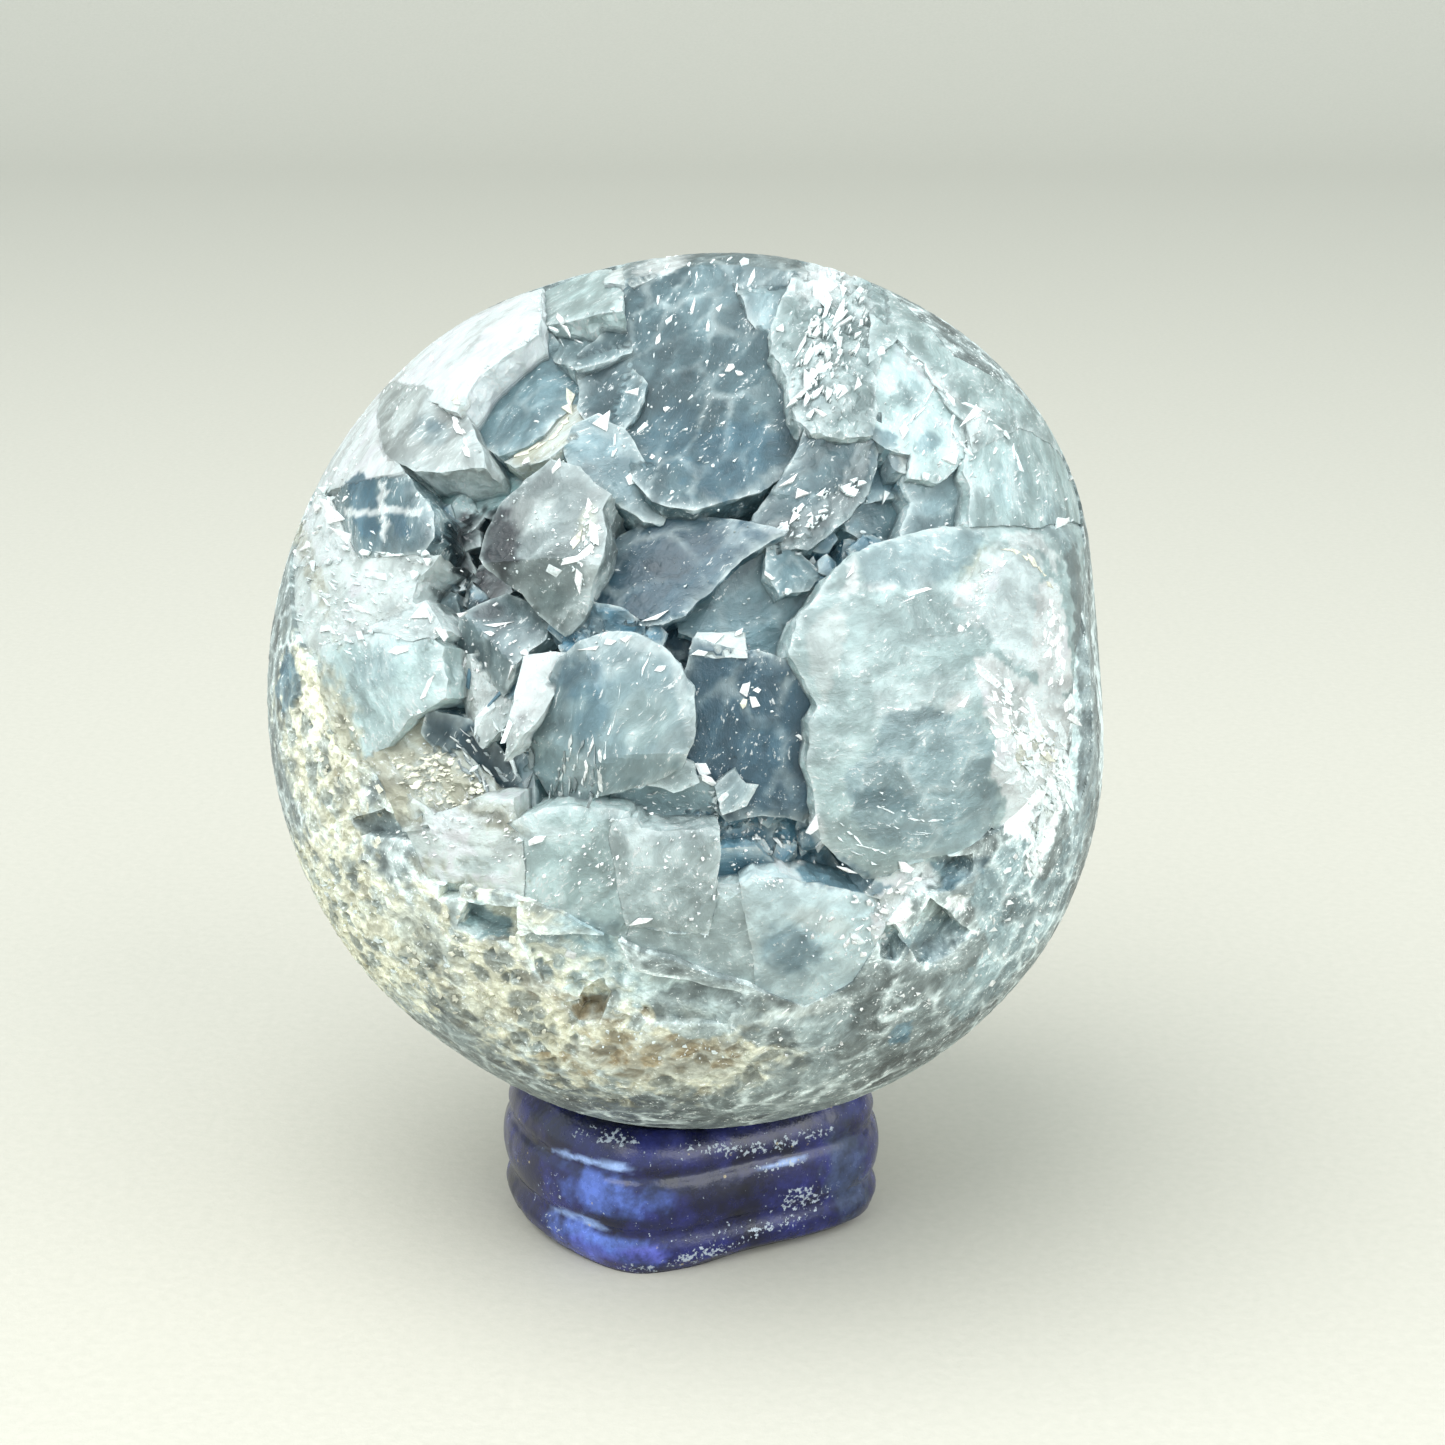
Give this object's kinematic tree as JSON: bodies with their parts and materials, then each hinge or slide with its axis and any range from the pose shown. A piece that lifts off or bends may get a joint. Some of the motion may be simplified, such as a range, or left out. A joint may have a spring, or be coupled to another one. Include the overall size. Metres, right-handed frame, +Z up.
{
  "type": "celestite sphere",
  "caption": "Ground ball of crystal-filled celestite geode resting on a low ring cut from blue stone, for display.",
  "frame": {"origin": "on the surface that the ring stands on, under the middle of the whole object's box", "axes": "+Z up through ring and ball; the crystal-filled hollow faces -Y and a little up; +X is to the right of a viewer who looks along +Y"},
  "size_m": [0.0796, 0.081, 0.0957],
  "materials": {
    "celestite": "ground, satin, translucent milky blue-grey with cream veins",
    "crystal": "translucent slate blue to pale aqua crystal, natural faces glossy, ground faces frosted",
    "lapis": "polished deep blue with white and gold specks"
  },
  "bodies": {
    "root": {"celestite_ball": "celestite", "crystal_crust": "crystal", "ring_stand": "lapis"}
  },
  "joints": []
}
